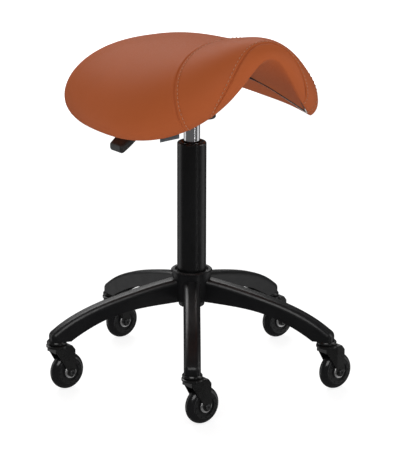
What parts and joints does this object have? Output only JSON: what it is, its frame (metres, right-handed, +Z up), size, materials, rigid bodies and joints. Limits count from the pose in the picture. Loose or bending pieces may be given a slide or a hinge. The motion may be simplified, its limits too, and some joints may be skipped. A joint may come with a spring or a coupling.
{
  "type": "saddle stool",
  "caption": "Height-adjustable saddle stool: leather-covered saddle seat on a gas lift, tilt knob and height lever, five-arm caster base.",
  "frame": {"origin": "column axis at floor level, at the gas lift's lowest but 20 mm", "axes": "+Z up along the column; the seat's nose points to -Y, the user's right is -X"},
  "size_m": [0.5293, 0.4908, 0.6331],
  "materials": {
    "nylon_black": "satin moulded, fine grain",
    "steel_black": "black powder coat",
    "chrome": "polished",
    "steel": "zinc plated",
    "rubber": "soft",
    "tread": "glossy black polyurethane",
    "leather": "terracotta leatherette",
    "shell": "moulded",
    "trim": "extruded edge trim",
    "tag": "woven"
  },
  "bodies": {
    "base": {"star_base": "nylon_black", "hub_sleeve": "steel", "hub_ring": "nylon_black", "caster_sockets": "steel", "caster_stems": "steel_black", "column_tube": "steel_black", "column_bush": "nylon_black", "thrust_bearing": "steel"},
    "rod": {"piston_rod": "chrome", "rod_washer": "steel", "rod_buffer": "rubber", "rod_clip": "steel", "piston": "steel"},
    "lift": {"gas_cylinder": "chrome", "cylinder_gland": "steel", "mech_housing": "steel_black", "taper_socket": "steel_black", "tilt_pin": "steel", "lever_bracket": "steel_black", "lever_pin": "steel"},
    "seat": {"seat_plate": "steel_black", "trunnion_nut": "steel", "plate_bolts": "steel", "t_nuts": "steel", "seat_foam": "leather", "seat_shell": "shell", "under_cover": "leather", "edge_trim": "trim", "side_tag": "tag"},
    "lever": {"lever_arm": "steel_black", "lever_paddle": "nylon_black"},
    "release": {"release_pin": "steel"},
    "knob": {"tilt_knob": "nylon_black", "tilt_screw": "steel"},
    "fork_body_1": {"fork_1": "steel_black", "axle_set_1": "steel_black"},
    "wheel_1": {"wheel_tread_1": "tread", "wheel_hub_1": "nylon_black", "wheel_bearings_1": "chrome"},
    "fork_body_2": {"fork_2": "steel_black", "axle_set_2": "steel_black"},
    "wheel_2": {"wheel_tread_2": "tread", "wheel_hub_2": "nylon_black", "wheel_bearings_2": "chrome"},
    "fork_body_3": {"fork_3": "steel_black", "axle_set_3": "steel_black"},
    "wheel_3": {"wheel_tread_3": "tread", "wheel_hub_3": "nylon_black", "wheel_bearings_3": "chrome"},
    "fork_body_4": {"fork_4": "steel_black", "axle_set_4": "steel_black"},
    "wheel_4": {"wheel_tread_4": "tread", "wheel_hub_4": "nylon_black", "wheel_bearings_4": "chrome"},
    "fork_body_5": {"fork_5": "steel_black", "axle_set_5": "steel_black"},
    "wheel_5": {"wheel_tread_5": "tread", "wheel_hub_5": "nylon_black", "wheel_bearings_5": "chrome"}
  },
  "joints": [
    {"name": "seat_swivel", "type": "hinge", "parent": "base", "child": "rod", "pos_m": [0, 0, 0.142], "axis": [0, 0, 1], "continuous": true},
    {"name": "seat_height", "type": "slide", "parent": "rod", "child": "lift", "axis": [0, 0, 1], "range_m": [-0.02, 0.15]},
    {"name": "knob_turn", "type": "hinge", "parent": "lift", "child": "knob", "pos_m": [0, -0.041, 0.48], "axis": [0, 0, 1], "range_deg": [-1080, 1080]},
    {"name": "seat_tilt", "type": "hinge", "parent": "lift", "child": "seat", "pos_m": [0, 0.048, 0.514], "axis": [1, 0, 0], "range_deg": [-5.8, 5.8]},
    {"name": "height_lever", "type": "hinge", "parent": "lift", "child": "lever", "pos_m": [-0.02596, -0.00136, 0.517], "axis": [-0.0523, 0.9986, 0], "range_deg": [0, 8], "stiffness_Nm_per_rad": 1, "springref_deg": -5.73},
    {"name": "release_travel", "type": "slide", "parent": "lift", "child": "release", "axis": [0, 0, -1], "range_m": [0, 0.0038], "stiffness_N_per_m": 200, "springref_m": -0.002},
    {"name": "caster_swivel_1", "type": "hinge", "parent": "base", "child": "fork_body_1", "pos_m": [-0.01414, 0.24159, 0.084], "axis": [0, 0, 1], "continuous": true},
    {"name": "wheel_spin_1", "type": "hinge", "parent": "fork_body_1", "child": "wheel_1", "pos_m": [0.00578, 0.24333, 0.032], "axis": [-0.0872, 0.9962, 0], "continuous": true},
    {"name": "caster_swivel_2", "type": "hinge", "parent": "base", "child": "fork_body_2", "pos_m": [-0.23413, 0.06121, 0.084], "axis": [0, 0, 1], "continuous": true},
    {"name": "wheel_spin_2", "type": "hinge", "parent": "fork_body_2", "child": "wheel_2", "pos_m": [-0.21421, 0.06295, 0.032], "axis": [-0.0872, 0.9962, 0], "continuous": true},
    {"name": "caster_swivel_3", "type": "hinge", "parent": "base", "child": "fork_body_3", "pos_m": [-0.13056, -0.20376, 0.084], "axis": [0, 0, 1], "continuous": true},
    {"name": "wheel_spin_3", "type": "hinge", "parent": "fork_body_3", "child": "wheel_3", "pos_m": [-0.11064, -0.20202, 0.032], "axis": [-0.0872, 0.9962, 0], "continuous": true},
    {"name": "caster_swivel_4", "type": "hinge", "parent": "base", "child": "fork_body_4", "pos_m": [0.15344, -0.18713, 0.084], "axis": [0, 0, 1], "continuous": true},
    {"name": "wheel_spin_4", "type": "hinge", "parent": "fork_body_4", "child": "wheel_4", "pos_m": [0.17336, -0.18539, 0.032], "axis": [-0.0872, 0.9962, 0], "continuous": true},
    {"name": "caster_swivel_5", "type": "hinge", "parent": "base", "child": "fork_body_5", "pos_m": [0.22539, 0.0881, 0.084], "axis": [0, 0, 1], "continuous": true},
    {"name": "wheel_spin_5", "type": "hinge", "parent": "fork_body_5", "child": "wheel_5", "pos_m": [0.24532, 0.08985, 0.032], "axis": [-0.0872, 0.9962, 0], "continuous": true}
  ],
  "couplings": [
    {"joint": "knob_turn", "follows": "seat_tilt", "ratio": 186.22},
    {"joint": "release_travel", "follows": "height_lever", "m_per_rad": 0.026}
  ]
}
